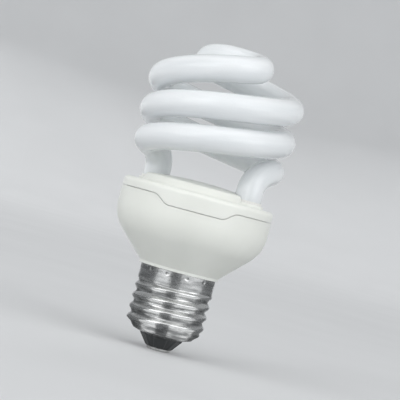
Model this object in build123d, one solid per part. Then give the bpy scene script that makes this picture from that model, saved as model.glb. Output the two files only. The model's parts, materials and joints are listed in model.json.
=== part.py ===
from build123d import *
import math
import os

# Spiral compact fluorescent lamp with a rolled screw cap. Millimetres and degrees.
# Z runs along the lamp from the face of the centre contact, Z = 0, to the top of the spiral.
# -Y is the front.

# Fits shared by all pieces
fit_gap = 0.1
wall = 1.5
far = 40.0

# Centre contact and the black glass insulator
contact_d = 8.0
contact_t = 0.9
eyelet_d = 3.0
eyelet_bore_d = 1.9
eyelet_h = 3.4
insulator_tip_d = 8.4
insulator_d = 14.8
insulator_rib_count = 12
insulator_rib_w = 1.1
insulator_rib_h = 0.22
insulator_top_z = 9.4

# Rolled screw shell
sheet = 0.3
thread_d = 26.2
thread_depth = 1.05
thread_pitch = 3.62
crest_z = 10.6
thread_low_z = 6.4
thread_fade = 2.4
thread_points = 12
thread_sections = 12
lip_z = 4.9
lip_turn_inset = 3.1
lip_turn_z = 5.7
taper_top_z = 8.2
skirt_inset = 0.35
skirt_h = 4.0
cap_h = 27.2
dent_count = 12
dent_r = 0.75
dent_depth = 0.45
dent_drop = 1.1

# Lower housing: neck spigot, lip, cone and cylindrical wall
housing_d = 51.2
neck_lip_reach = 0.5
neck_lip_h = 0.9
cone_angle = 45.0
cone_blend_r = 12.0
neck_wall = 2.05
neck_clearance = 0.2
groove_w = 2.4
groove_depth = 0.6
rib_count = 6
rib_t = 1.2
rib_reach = 3.4
rib_h = 7.0

# Parting line with a tongue at the front and the back
wall_h = 10.5
parting_gap = 0.14
parting_edge_r = 0.16
tongue_drop = 2.8
tongue_w = 19.2
tongue_flare = 3.6
tongue_corner_r = 3.4

# Top cover
cover_edge_rise = 3.4
cover_edge_r = 1.6
shoulder_w = 5.2
plateau_rise = 3.9
plateau_dome_r = 126.0
plateau_draft = 24.0
plateau_edge_r = 0.9
skirt_wall = 2.0
socket_wall = 0.7
socket_depth = 7.6

# Spiral glass tube
tube_d = 9.0
turn_gap = 2.0
coil_d = 53.6
coil_rise = 8.5
leg_inset = 7.42
leg_bearing = -29.7
leg_straight = 0.6
bend_pull = 1.25
bend_end_angle = 24.0
coil_end_angle = 345.0
curl_back_angle = 450.0
curl_r = 8.8
curl_start_pull = 14.6
curl_back_pull = 12.0
curl_slope = 0.2
curl_lift = 1.7
curl_lobe_rise = 2.9
curl_crown_rise = 4.5
cement_gap = 0.35
cement_recess = 0.8
pinch_w = 10.4
pinch_t = 2.8
pinch_taper = 2.6
pinch_l = 1.4

# Ballast board and the parts under it
board_t = 1.6
board_gap = 0.9
board_drop = 7.6
lead_d = 0.7
lead_tail = 0.6
solder_foot_w = 0.5
solder_tip_w = 0.1
solder_h = 0.5
stand_off = 1.4
capacitor_d = 10.0
capacitor_l = 16.0
capacitor_bead = 0.35
capacitor_pitch = 5.0
choke_w = 12.4
choke_depth = 9.0
choke_h = 8.0
choke_leg = 3.2
choke_window = 2.5
bobbin_wall = 0.6
bobbin_flange_t = 0.9
bobbin_pin_pitch = 4.7
ring_d = 8.6
ring_hole_d = 4.4
ring_h = 3.6
winding_count = 3
winding_t = 0.6
winding_arc = 44.0
transistor_d = 4.8
transistor_h = 5.2
transistor_flat = 1.4
transistor_pitch = 1.27
film_w = 6.4
film_t = 3.8
film_h = 8.0
film_corner_r = 1.2
film_pitch = 5.0
axial_span = 7.6
diode_count = 4
diode_d = 2.7
diode_l = 5.2
trigger_d = 1.9
trigger_l = 4.0
resistor_d = 2.2
resistor_l = 5.8

# Places of the parts on the board, as shares of its radius
choke_share = 0.491
ring_share = (-0.509, -0.353)
transistor_share = (0.457, -0.397)
transistor_spread_share = 0.276
film_share = (0.556, 0.198)
diode_share = -0.612
diode_spread_share = 0.147
trigger_share = (0.698, -0.194)
corner_resistor_share = (0.483, 0.526)
side_resistor_share = (-0.733, 0.052)
pin_share = 0.6

# Wiring
fuse_d = 3.6
fuse_l = 9.0
fuse_gap = 2.4
fuse_tip_z = 0.2
wire_d = 1.2
wire_bend_r = 2.4
live_gap = 1.6
live_run = 3.0
neutral_gap = 1.2
pin_side = 0.8
pin_h = 5.0
filament_d = 0.5
filament_gap = 5.0
filament_drop = 0.7
filament_bend_r = 0.4

# Worked out from the sizes above
thread_root_d = thread_d - 2 * thread_depth
lip_turn_d = thread_d - 2 * lip_turn_inset
skirt_d = thread_d - 2 * skirt_inset
skirt_z = cap_h - skirt_h
neck_lip_d = thread_d + 2 * neck_lip_reach
neck_r = thread_root_d / 2 - sheet - fit_gap
neck_bore_d = 2 * (neck_r - neck_wall)
neutral_z = crest_z + thread_pitch
neck_low_z = neutral_z + wire_d / 2 + neck_clearance
live_x = neck_bore_d / 2 - wire_d / 2 - live_gap
neutral_x = -neck_bore_d / 2 + wire_d / 2 + neutral_gap
body_r = housing_d / 2
body_bore_r = body_r - wall
cone_z = cap_h + neck_lip_h
cone_corner_z = cone_z + (body_r - neck_lip_d / 2) / math.tan(math.radians(cone_angle))
bore_corner_z = cone_corner_z + wall * math.tan(math.radians(cone_angle / 2))
neck_bore_z = bore_corner_z - (body_bore_r - neck_bore_d / 2) / math.tan(math.radians(cone_angle))
parting_z = cone_corner_z + wall_h
cover_edge_z = parting_z + cover_edge_rise
plateau_top_z = cover_edge_z + plateau_rise
plateau_d = housing_d - 2 * shoulder_w
coil_start_z = plateau_top_z + coil_rise
board_z = parting_z - board_drop
tube_r = tube_d / 2
lead = 2 * (tube_d + turn_gap)
coil_r = coil_d / 2 - tube_r
board_r = body_bore_r - board_gap
dent_z = cap_h - dent_drop
board_top_z = board_z + board_t
choke_y = choke_share * board_r
ring_x, ring_y = [share * board_r for share in ring_share]
transistor_x, transistor_y = [share * board_r for share in transistor_share]
transistor_spacing = transistor_spread_share * board_r
film_x, film_y = [share * board_r for share in film_share]
diode_y = diode_share * board_r
diode_spacing = diode_spread_share * board_r
trigger_x, trigger_y = [share * board_r for share in trigger_share]
corner_x, corner_y = [share * board_r for share in corner_resistor_share]
side_x, side_y = [share * board_r for share in side_resistor_share]
fuse_z = board_z - capacitor_l - fuse_gap - live_run - fuse_l
ceiling_z = cover_edge_z - wall
socket_bore_r = tube_r + cement_gap
socket_r = socket_bore_r + socket_wall
socket_end_z = plateau_top_z - socket_depth
leg_top_z = plateau_top_z + leg_straight
leg_end_z = socket_end_z - fit_gap
pinch_z = leg_end_z - pinch_taper
tube_end_z = pinch_z - pinch_l
leg_r = body_r - leg_inset
leg_x = leg_r * math.cos(math.radians(leg_bearing))
leg_y = leg_r * math.sin(math.radians(leg_bearing))
leg_points = [(leg_x, leg_y), (-leg_x, -leg_y)]
pin_inset = leg_r - pin_share * board_r
BASE = (Align.CENTER, Align.CENTER, Align.MIN)
HANG = (Align.CENTER, Align.CENTER, Align.MAX)


def post(diameter, low_z, high_z, x=0.0, y=0.0):
    """Upright cylinder between two heights."""
    return Pos(x, y, low_z) * Cylinder(diameter / 2, high_z - low_z, align=BASE)


def turned(*outline):
    """Solid of revolution about Z from an outline of curves or (radius, height) corners."""
    if isinstance(outline[0], tuple):
        outline = [Polyline(*outline, close=True)]
    return revolve(Plane.XZ * make_face(outline), Axis.Z)


def wire(diameter, points, bend_r):
    """Round wire through the given points, with rounded bends."""
    path = FilletPolyline(*points, radius=bend_r)
    start = Plane(origin=path @ 0, z_dir=path % 0)
    return sweep(start * Circle(diameter / 2), path=path)


def around(count, start_angle=0.0):
    """Turns that spread copies evenly about Z."""
    return [Rot(0, 0, start_angle + 360 * i / count) for i in range(count)]


# Spiral tube
def on_coil(angle):
    """Point of the coil's centre line at an angle from the start of an arm."""
    turn = math.radians(angle)
    return Vector(coil_r * math.cos(turn), coil_r * math.sin(turn), coil_start_z + lead * angle / 360)


def along_coil(angle):
    """Direction of the coil's centre line at an angle from the start of an arm."""
    turn = math.radians(angle)
    slope = Vector(-coil_r * math.sin(turn), coil_r * math.cos(turn), lead / (2 * math.pi))
    return slope.normalized()


def curl_path():
    """Last curves of an arm: in from the coil at the back, then half a circle up to the axis."""
    start = on_coil(coil_end_angle)
    back = Vector(0, 2 * curl_r, on_coil(curl_back_angle).Z + curl_lift)
    lobe = back + Vector(-curl_r, -curl_r, curl_lobe_rise)
    crown = back + Vector(0, -2 * curl_r, curl_crown_rise)
    quarter_pull = curl_r * 4 / 3 * (math.sqrt(2) - 1)
    to_left = Vector(-1, 0, curl_slope)
    to_front = Vector(0, -1, curl_slope)
    inward = Bezier(
        start, start + along_coil(coil_end_angle) * curl_start_pull, back - to_left * curl_back_pull, back
    )
    to_lobe = Bezier(back, back + to_left * quarter_pull, lobe - to_front * quarter_pull, lobe)
    to_crown = Bezier(lobe, lobe + to_front * quarter_pull, crown - Vector(quarter_pull, 0, 0), crown)
    return [inward, to_lobe, to_crown]


def arm_path():
    """Centre line of one arm: leg, bend, helix, and the curl that ends on the lamp's axis."""
    foot = Vector(leg_x, leg_y, leg_end_z)
    knee = Vector(leg_x, leg_y, leg_top_z)
    join = on_coil(bend_end_angle)
    pull = (join - knee).length * bend_pull / 3
    bend = Bezier(knee, knee + Vector(0, 0, pull), join - along_coil(bend_end_angle) * pull, join)
    turn = coil_end_angle - bend_end_angle
    helix = Helix(lead, lead * turn / 360, coil_r)
    helix = Pos(0, 0, join.Z) * Rot(0, 0, bend_end_angle) * helix
    return Wire([Line(foot, knee), bend, helix] + curl_path())


def pinch():
    """Flattened end of a leg, from the round tube to the pressed blade."""
    place = Pos(leg_x, leg_y, 0) * Rot(0, 0, leg_bearing + 90)
    blade = SlotOverall(pinch_w, pinch_t)
    round_end = Pos(0, 0, leg_end_z) * Circle(tube_r)
    press = loft([round_end, Pos(0, 0, pinch_z) * blade])
    return place * (press + Pos(0, 0, tube_end_z) * extrude(blade, pinch_l))


def spiral_tube():
    """The whole tube: two like arms, half a turn apart, that meet on the axis."""
    path = arm_path()
    section = Plane(origin=path @ 0, z_dir=path % 0) * Circle(tube_r)
    arm = sweep(section, path=path) + pinch()
    return arm + Rot(0, 0, 180) * arm


def tube_cement():
    """Cement that fills the gap between each leg and its socket."""
    high_z = plateau_top_z - leg_r**2 / (2 * plateau_dome_r) - cement_recess
    return [
        post(2 * socket_bore_r, socket_end_z, high_z, x, y) - post(tube_d, socket_end_z, high_z, x, y)
        for x, y in leg_points
    ]


# Screw cap
def ramp(low, high, value):
    """Smooth step from 0 at the low value to 1 at the high value."""
    part = min(max((value - low) / (high - low), 0), 1)
    return part * part * (3 - 2 * part)


def shell_r(z, angle):
    """Outer radius of the rolled shell at a height and an angle round the cap."""
    root_r = thread_root_d / 2
    lip_r = lip_turn_d / 2
    form = lip_r + (root_r - lip_r) * min((z - lip_turn_z) / (taper_top_z - lip_turn_z), 1)
    form += (skirt_d / 2 - root_r) * ramp(skirt_z - thread_fade, skirt_z, z)
    fade = ramp(thread_low_z, thread_low_z + thread_fade, z) * ramp(-skirt_z, thread_fade - skirt_z, -z)
    wave = (1 + math.cos(2 * math.pi * ((z - crest_z) / thread_pitch - angle / 360))) / 2
    return form + fade * wave * (thread_d - thread_root_d) / 2


def shell_section(angle):
    """Section of the sheet at an angle round the cap, from the lip to the rim."""
    count = round(thread_points * (skirt_z - lip_turn_z) / thread_pitch)
    heights = [lip_turn_z + (skirt_z - lip_turn_z) * i / count for i in range(count + 1)]
    outer = [(shell_r(z, angle), z) for z in heights]
    inner = [(shell_r(z, angle) - sheet, z) for z in reversed(heights) if z > lip_turn_z + sheet]
    inner.append((lip_turn_d / 2 - sheet / 2, lip_turn_z + sheet))
    rim = [outer[-1], (skirt_d / 2, cap_h), (skirt_d / 2 - sheet, cap_h), inner[0]]
    lip = [inner[-1], (insulator_d / 2, lip_z + sheet), (insulator_d / 2, lip_z), outer[0]]
    outline = [Spline(*outer), Polyline(*rim), Spline(*inner), Polyline(*lip)]
    return Rot(0, 0, angle) * (Plane.XZ * make_face(outline))


def cap_shell():
    """Thin rolled shell with its screw thread, punch marks and open lip."""
    skin = []
    for start in (0, 180):
        sections = [shell_section(start + 180 * i / thread_sections) for i in range(thread_sections + 1)]
        half = loft(sections)
        skin += [face for face in half.faces() if abs(face.center().Y) > sheet]
    shell = Part(Solid(Shell(skin)).wrapped)
    dent_place = Pos(skirt_d / 2 - dent_depth + dent_r, 0, dent_z)
    dent = dent_place * Sphere(dent_r)
    boss = dent_place * Sphere(dent_r + sheet) & post(skirt_d - sheet, 0, cap_h)
    turns = around(dent_count, 180 / dent_count)
    return shell + [turn * boss for turn in turns] - [turn * dent for turn in turns]


def cap_insulator():
    """Black glass cone that is fused into the lip of the shell, with moulded ribs."""
    seat_z = lip_z + sheet
    top_r = lip_turn_d / 2 - sheet
    cone = turned(
        (eyelet_d / 2, contact_t),
        (insulator_tip_d / 2, contact_t),
        (insulator_d / 2, lip_z),
        (insulator_d / 2, seat_z),
        (top_r - sheet / 2, lip_turn_z + sheet),
        (top_r, insulator_top_z),
        (eyelet_d / 2, insulator_top_z),
    )
    run_r = (insulator_d - insulator_tip_d) / 2
    run_z = lip_z - contact_t
    slope = math.degrees(math.atan2(run_z, run_r))
    rib = Pos((insulator_d + insulator_tip_d) / 4, 0, (lip_z + contact_t) / 2)
    rib *= Rot(0, -slope, 0) * Box(far, insulator_rib_w, 2 * insulator_rib_h)
    rib &= post(insulator_d, contact_t, lip_z) - post(eyelet_d, contact_t, lip_z)
    return cone + [turn * rib for turn in around(insulator_rib_count)]


def centre_contact():
    """Contact disc with the hollow eyelet that holds the lead."""
    disc = post(contact_d, 0, contact_t)
    edge = disc.faces().sort_by(Axis.Z)[0].edges()
    body = fillet(edge, contact_t / 2) + post(eyelet_d, contact_t, contact_t + eyelet_h)
    return body - post(eyelet_bore_d, 0, contact_t + eyelet_h)


def contact_solder():
    """Solder that fills the eyelet round the end of the lead, flush with the contact."""
    high_z = contact_t + eyelet_h / 2
    return post(eyelet_bore_d, 0, high_z) - post(lead_d, fuse_tip_z, high_z)


# Housing
def body_form():
    """Solid outer form of the lower housing and the cover's side wall."""
    side = FilletPolyline(
        (neck_lip_d / 2, cone_z), (body_r, cone_corner_z), (body_r, cover_edge_z), radius=cone_blend_r
    )
    rest = Polyline((body_r, cover_edge_z), (0, cover_edge_z), (0, cap_h), (neck_lip_d / 2, cap_h),
                    (neck_lip_d / 2, cone_z))
    return turned(side, rest)


def body_bore():
    """Hollow of the lower housing, from the neck to above the parting line."""
    side = FilletPolyline(
        (neck_bore_d / 2, neck_bore_z),
        (body_bore_r, bore_corner_z),
        (body_bore_r, cover_edge_z),
        radius=cone_blend_r - wall,
    )
    rest = Polyline((body_bore_r, cover_edge_z), (0, cover_edge_z), (0, 0), (neck_bore_d / 2, 0),
                    (neck_bore_d / 2, neck_bore_z))
    return turned(side, rest)


def above_parting(drop=0.0):
    """Space above the parting line and its tongues, which the cover takes up."""
    line_z = parting_z - drop
    low_z = line_z - tongue_drop
    top_half = tongue_w / 2 + tongue_flare
    outline = FilletPolyline(
        (far, line_z),
        (top_half, line_z),
        (tongue_w / 2, low_z),
        (-tongue_w / 2, low_z),
        (-top_half, line_z),
        (-far, line_z),
        radius=tongue_corner_r,
    )
    rest = Polyline((-far, line_z), (-far, line_z + far), (far, line_z + far), (far, line_z))
    return extrude(Plane.XZ * make_face([outline, rest]), far, both=True)


def round_parting(form):
    """Form with its edges along the parting line rounded on the outer wall."""
    low_z = parting_z - parting_gap - tongue_drop
    rim = []
    for edge in form.edges():
        middle = edge @ 0.5
        on_wall = math.isclose(math.hypot(middle.X, middle.Y), body_r, rel_tol=1e-4)
        on_line = low_z - parting_gap < middle.Z < parting_z + parting_gap
        is_seam = abs((edge % 0.5).Z) > 0.99
        if on_wall and on_line and not is_seam:
            rim.append(edge)
    return fillet(rim, parting_edge_r)


def lower_housing():
    """Moulded cone with its wall, the ribs that carry the board and the spigot in the cap."""
    spigot_top = post(skirt_d - 2 * sheet - 2 * fit_gap, skirt_z + sheet, cap_h)
    groove = post(2 * far, dent_z - groove_w / 2, dent_z + groove_w / 2)
    groove -= post(skirt_d - 2 * sheet - 2 * groove_depth, 0, cap_h)
    spigot = post(2 * neck_r, neck_low_z, cap_h) + spigot_top - groove
    rib_x = board_r - rib_reach
    rib = Pos(rib_x, 0, board_z) * Box(far, rib_t, rib_h, align=(Align.MIN, Align.CENTER, Align.MAX))
    form = round_parting(body_form() - above_parting(parting_gap))
    ribs = [form & (turn * rib) for turn in around(rib_count)]
    return form + spigot - body_bore() + ribs


def top_cover():
    """Moulded cover with its raised centre, leg sockets and the skirt inside the housing."""
    form = round_parting(body_form() & above_parting())
    form = fillet(form.faces().sort_by(Axis.Z)[-1].edges(), cover_edge_r)
    footprint = Circle(plateau_d / 2)
    footprint += [Pos(x, y) * Circle(socket_r) for x, y in leg_points]
    dome = Pos(0, 0, plateau_top_z - plateau_dome_r) * Sphere(plateau_dome_r)
    raised = extrude(Pos(0, 0, ceiling_z) * footprint, plateau_top_z, taper=plateau_draft) & dome
    raised = fillet(raised.faces().sort_by(Axis.Z)[-1].edges(), plateau_edge_r)
    hollow = post(2 * body_bore_r, 0, ceiling_z)
    hollow += turned(
        (0, ceiling_z),
        (plateau_d / 2 - 2 * wall, ceiling_z),
        (plateau_d / 2 - 3 * wall, plateau_top_z - 2 * wall),
        (0, plateau_top_z - wall),
    )
    skirt_r = body_bore_r - fit_gap
    skirt = post(2 * skirt_r, board_top_z, ceiling_z)
    skirt -= post(2 * (skirt_r - skirt_wall), 0, ceiling_z)
    sockets = [post(2 * socket_r, socket_end_z, plateau_top_z - 2 * wall, x, y) for x, y in leg_points]
    bores = [post(2 * socket_bore_r, 0, plateau_top_z, x, y) for x, y in leg_points]
    return form + raised - hollow + skirt + sockets - bores


# Ballast
def spread(count, spacing, middle=0.0):
    """Evenly spaced values about a middle value."""
    return [middle + (i - (count - 1) / 2) * spacing for i in range(count)]


def axial_feet(x, y, angle):
    """Places where the two leads of a lying part go through the board."""
    turn = math.radians(angle)
    half = axial_span / 2
    return [(x + side * half * math.cos(turn), y + side * half * math.sin(turn)) for side in (-1, 1)]


diode_places = [(x, diode_y, 90) for x in spread(diode_count, diode_spacing)]
trigger_place = (trigger_x, trigger_y, 90)
resistor_places = [
    (corner_x, corner_y, -45),
    (-corner_x, corner_y, 45),
    (side_x, side_y, 90),
]
capacitor_feet = [(x, 0) for x in spread(2, capacitor_pitch)]
high_feet, low_feet = [
    [(transistor_x, y) for y in spread(3, transistor_pitch, middle)]
    for middle in spread(2, -transistor_spacing, transistor_y)
]
start_feet, coupling_feet = [[(x, y) for y in spread(2, film_pitch, film_y)] for x in (-film_x, film_x)]
bobbin_feet = [(x, y) for x in spread(2, bobbin_pin_pitch) for y in spread(2, bobbin_pin_pitch, choke_y)]
lying_places = diode_places + resistor_places + [trigger_place]
board_feet = [foot for place in lying_places for foot in axial_feet(*place)]
board_feet += capacitor_feet + high_feet + low_feet + start_feet + coupling_feet + bobbin_feet


def leads(feet, low_z):
    """Straight leads from a part up through the board, with short tails above it."""
    return [post(lead_d, low_z, board_top_z + lead_tail, x, y) for x, y in feet]


def ballast_board():
    """Round board with a hole for each lead."""
    holes = [post(lead_d + 2 * fit_gap, board_z, board_top_z, x, y) for x, y in board_feet]
    return post(2 * board_r, board_z, board_top_z) - holes


def solder_joints():
    """Solder on top of the board, a small cone round each lead."""
    lead_r = lead_d / 2
    joint = Cone(lead_r + solder_foot_w, lead_r + solder_tip_w, solder_h, align=BASE)
    joint -= post(lead_d, 0, solder_h)
    return [Pos(x, y, board_top_z) * joint for x, y in board_feet]


def bulk_capacitor():
    """Round can that hangs from the board into the neck, with the bead rolled near its leads."""
    can = post(capacitor_d, board_z - capacitor_l, board_z)
    can = fillet(can.faces().sort_by(Axis.Z)[0].edges(), capacitor_d / 12)
    bead_z = board_z - capacitor_l / 8
    bead = Pos(0, 0, bead_z) * Torus(capacitor_d / 2 + capacitor_bead, 2 * capacitor_bead)
    return can - bead + leads(capacitor_feet, board_z)


choke_place = Pos(0, choke_y, board_z - choke_h / 2)
window_l = choke_depth - choke_leg
bobbin_w = choke_leg + 2 * (choke_window - fit_gap)
bobbin_l = window_l - 2 * fit_gap
bobbin_bore = choke_leg + 2 * fit_gap
bobbin_tube = bobbin_bore + 2 * bobbin_wall
coil_l = bobbin_l - 2 * bobbin_flange_t


def choke_core():
    """Ferrite core with a middle leg and two windows, seen from below as a figure of eight."""
    window = Box(choke_window, window_l, choke_leg)
    windows = [Pos(x, 0, 0) * window for x in spread(2, choke_leg + choke_window)]
    return choke_place * (Box(choke_w, choke_depth, choke_leg) - windows)


def choke_bobbin():
    """Square bobbin on the middle leg, standing on the board with four pins."""
    flange = Box(bobbin_w, bobbin_flange_t, choke_h)
    flanges = [Pos(0, y, 0) * flange for y in spread(2, bobbin_l - bobbin_flange_t)]
    bobbin = Box(bobbin_tube, bobbin_l, bobbin_tube) + flanges - Box(bobbin_bore, bobbin_l, bobbin_bore)
    return choke_place * bobbin + leads(bobbin_feet, board_z)


def choke_winding():
    """Wound block between the flanges of the bobbin."""
    block = Box(bobbin_w - 2 * fit_gap, coil_l, choke_h - 2 * bobbin_wall)
    block = fillet(block.edges().filter_by(Axis.Y), bobbin_wall)
    return choke_place * (block - Box(bobbin_tube, coil_l, bobbin_tube))


ring_z = board_z - winding_t - ring_h / 2


def drive_ring():
    """Small ferrite ring that drives the transistors."""
    ring = Cylinder(ring_d / 2, ring_h) - Cylinder(ring_hole_d / 2, ring_h)
    return Pos(ring_x, ring_y, ring_z) * fillet(ring.edges().filter_by(GeomType.CIRCLE), winding_t / 3)


def drive_windings():
    """Windings on the ring, each a sleeve round a part of its section."""
    middle_r = (ring_d + ring_hole_d) / 4
    section_w = (ring_d - ring_hole_d) / 2
    sleeve = Rectangle(section_w + 2 * winding_t, ring_h + 2 * winding_t) - Rectangle(section_w, ring_h)
    winding = revolve(Plane.XZ * Pos(middle_r, 0) * sleeve, Axis.Z, winding_arc)
    return [Pos(ring_x, ring_y, ring_z) * turn * winding for turn in around(winding_count)]


def transistor(feet):
    """Round-backed transistor with a flat face and three leads."""
    x, y = feet[1]
    high_z = board_z - stand_off
    case = Cylinder(transistor_d / 2, transistor_h, align=HANG)
    case &= Pos(-transistor_flat, 0, 0) * Box(far, far, far, align=(Align.MIN, Align.CENTER, Align.CENTER))
    return Pos(x, y, high_z) * case + leads(feet, high_z)


def film_capacitor(feet):
    """Dipped film capacitor that stands on the board."""
    x = feet[0][0]
    body = Box(film_t, film_w, film_h, align=HANG)
    body = fillet(body.edges().filter_by(Axis.Z), film_corner_r)
    body = fillet(body.faces().sort_by(Axis.Z)[0].edges(), film_corner_r)
    return Pos(x, film_y, board_z) * body + leads(feet, board_z)


def lying_part(body_d, body_l, place):
    """Two-lead part that lies under the board, with its leads bent up into the board."""
    x, y, angle = place
    axis_z = board_z - stand_off - body_d / 2
    tail_z = board_top_z + lead_tail
    half = axial_span / 2
    body = Cylinder(body_d / 2, body_l)
    body = fillet(body.edges().filter_by(GeomType.CIRCLE), body_d / 8)
    path = [(-half, 0, tail_z), (-half, 0, axis_z), (half, 0, axis_z), (half, 0, tail_z)]
    part = Pos(0, 0, axis_z) * Rot(0, 90, 0) * body + wire(lead_d, path, lead_d)
    return Pos(x, y, 0) * Rot(0, 0, angle) * part


# Wiring
def fuse_resistor():
    """Fusible resistor in the neck, whose lower lead reaches into the contact."""
    body = fillet(post(fuse_d, fuse_z, fuse_z + fuse_l).edges().filter_by(GeomType.CIRCLE), fuse_d / 8)
    return body + post(lead_d, fuse_tip_z, fuse_z)


def live_lead():
    """Wire from the board, past the capacitor, to the fusible resistor."""
    low_z = fuse_z + fuse_l
    turn_z = low_z + live_run
    path = [(live_x, 0, board_z), (live_x, 0, turn_z), (0, 0, turn_z), (0, 0, low_z)]
    return wire(wire_d, path, wire_bend_r)


def neutral_lead():
    """Wire from the board through the neck to the inside of the screw shell."""
    path = [(neutral_x, 0, board_z), (neutral_x, 0, neutral_z), (-neck_r, 0, neutral_z)]
    return wire(wire_d, path, wire_bend_r)


def at_tube_ends(piece):
    """Copies of a piece that belongs to a tube end, X outwards, one set for each side and end."""
    return [
        Rot(0, 0, turn + leg_bearing) * Pos(leg_r, y, 0) * piece
        for turn in (0, 180)
        for y in spread(2, filament_gap)
    ]


def wrap_pins():
    """Square posts on the board to which the tube's leads are wrapped."""
    return at_tube_ends(Pos(-pin_inset, 0, board_top_z) * Box(pin_side, pin_side, pin_h, align=BASE))


def filament_leads():
    """Thin leads from the pinches to the posts."""
    run_z = tube_end_z - filament_drop
    face_x = -pin_inset + pin_side / 2
    path = [(0, 0, tube_end_z), (0, 0, run_z), (face_x, 0, run_z)]
    return at_tube_ends(wire(filament_d, path, filament_bend_r))


def main():
    """Build every piece and write each to its own file."""
    os.makedirs("parts", exist_ok=True)
    pieces = {
        "spiral_tube": spiral_tube(),
        "tube_cement": tube_cement(),
        "top_cover": top_cover(),
        "lower_housing": lower_housing(),
        "cap_shell": cap_shell(),
        "cap_insulator": cap_insulator(),
        "centre_contact": centre_contact(),
        "contact_solder": contact_solder(),
        "ballast_board": ballast_board(),
        "solder_joints": solder_joints(),
        "bulk_capacitor": bulk_capacitor(),
        "choke_core": choke_core(),
        "choke_bobbin": choke_bobbin(),
        "choke_winding": choke_winding(),
        "drive_ring": drive_ring(),
        "drive_windings": drive_windings(),
        "transistor_high": transistor(high_feet),
        "transistor_low": transistor(low_feet),
        "start_capacitor": film_capacitor(start_feet),
        "coupling_capacitor": film_capacitor(coupling_feet),
        "rectifier_diodes": [lying_part(diode_d, diode_l, place) for place in diode_places],
        "trigger_diode": lying_part(trigger_d, trigger_l, trigger_place),
        "resistors": [lying_part(resistor_d, resistor_l, place) for place in resistor_places],
        "fuse_resistor": fuse_resistor(),
        "live_lead": live_lead(),
        "neutral_lead": neutral_lead(),
        "wrap_pins": wrap_pins(),
        "filament_leads": filament_leads(),
    }
    for name, shape in pieces.items():
        whole = Compound(children=shape) if isinstance(shape, list) else shape
        export_step(whole, f"parts/{name}.step")


main()
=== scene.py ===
"""Studio scene of a compact fluorescent lamp with a spiral tube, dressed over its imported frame."""

from __future__ import annotations

import json
import logging
import math
from dataclasses import dataclass
from enum import Enum
from typing import Any, Sequence, Union

import bpy
from mathutils import Matrix, Vector

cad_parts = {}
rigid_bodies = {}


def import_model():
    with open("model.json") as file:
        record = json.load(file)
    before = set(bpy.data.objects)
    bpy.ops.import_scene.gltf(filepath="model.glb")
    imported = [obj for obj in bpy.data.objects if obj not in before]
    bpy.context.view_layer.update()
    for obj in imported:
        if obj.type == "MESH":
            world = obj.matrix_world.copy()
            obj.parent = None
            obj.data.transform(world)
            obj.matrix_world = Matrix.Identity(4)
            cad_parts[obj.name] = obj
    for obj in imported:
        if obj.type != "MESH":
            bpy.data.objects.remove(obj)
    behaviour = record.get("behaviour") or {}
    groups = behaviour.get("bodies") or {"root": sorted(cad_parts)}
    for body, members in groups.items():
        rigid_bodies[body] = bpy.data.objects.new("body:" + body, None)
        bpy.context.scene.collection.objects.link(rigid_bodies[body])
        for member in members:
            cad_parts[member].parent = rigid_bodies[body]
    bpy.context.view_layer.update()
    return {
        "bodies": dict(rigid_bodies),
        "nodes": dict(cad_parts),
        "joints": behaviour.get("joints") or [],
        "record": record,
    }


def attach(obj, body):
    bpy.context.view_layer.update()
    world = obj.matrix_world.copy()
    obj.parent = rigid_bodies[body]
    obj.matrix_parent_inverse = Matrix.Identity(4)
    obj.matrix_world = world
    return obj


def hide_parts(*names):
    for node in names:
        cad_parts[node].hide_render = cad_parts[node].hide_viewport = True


LOG = logging.getLogger("spiral_lamp")
MM = 0.001
TURN = 2 * math.pi
BODY = "root"
CAMERA_SIDE = -90.0
SEAM_MERGE_MM = 0.002
RUN_MERGE_MM = 0.02
EVEN_SPREAD = (1.0, 1.0, 1.0)
MOST_OF_NOISE = (0.3, 0.7)
QUARTER_HANDLE = 4 / 3 * (math.sqrt(2) - 1)
Socket = bpy.types.NodeSocket
Feed = Union[Socket, float, int, Sequence[float], str, bpy.types.Material]
Feeds = dict[Union[str, int], Feed]
Pair = tuple[float, float]
Triple = tuple[float, float, float]


class Slot(Enum):
    """Material slots of the record that the lamp's pieces take their finish from."""

    GLASS = "coated_glass"
    CEMENT = "cement"
    PLASTIC = "housing_plastic"
    CAP = "cap_metal"
    INSULATOR = "insulator_glass"
    CONTACT = "contact_metal"
    SOLDER = "solder"
    BOARD = "board"
    SLEEVE = "capacitor_sleeve"
    FERRITE = "ferrite"
    BOBBIN = "bobbin_plastic"
    COPPER = "copper_wire"
    FILM = "film_dip"
    CASE = "semiconductor_case"
    RESISTOR = "resistor_body"
    FUSE = "fuse_body"
    LIVE = "live_wire"
    NEUTRAL = "neutral_wire"
    PIN = "pin_metal"
    LEAD = "lead_metal"


def polar(radius: float, degrees: float, height: float) -> Vector:
    """Place at a distance from the lamp's axis, an angle round it and a height."""
    turn = math.radians(degrees)
    return Vector((radius * math.cos(turn), radius * math.sin(turn), height))


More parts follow.
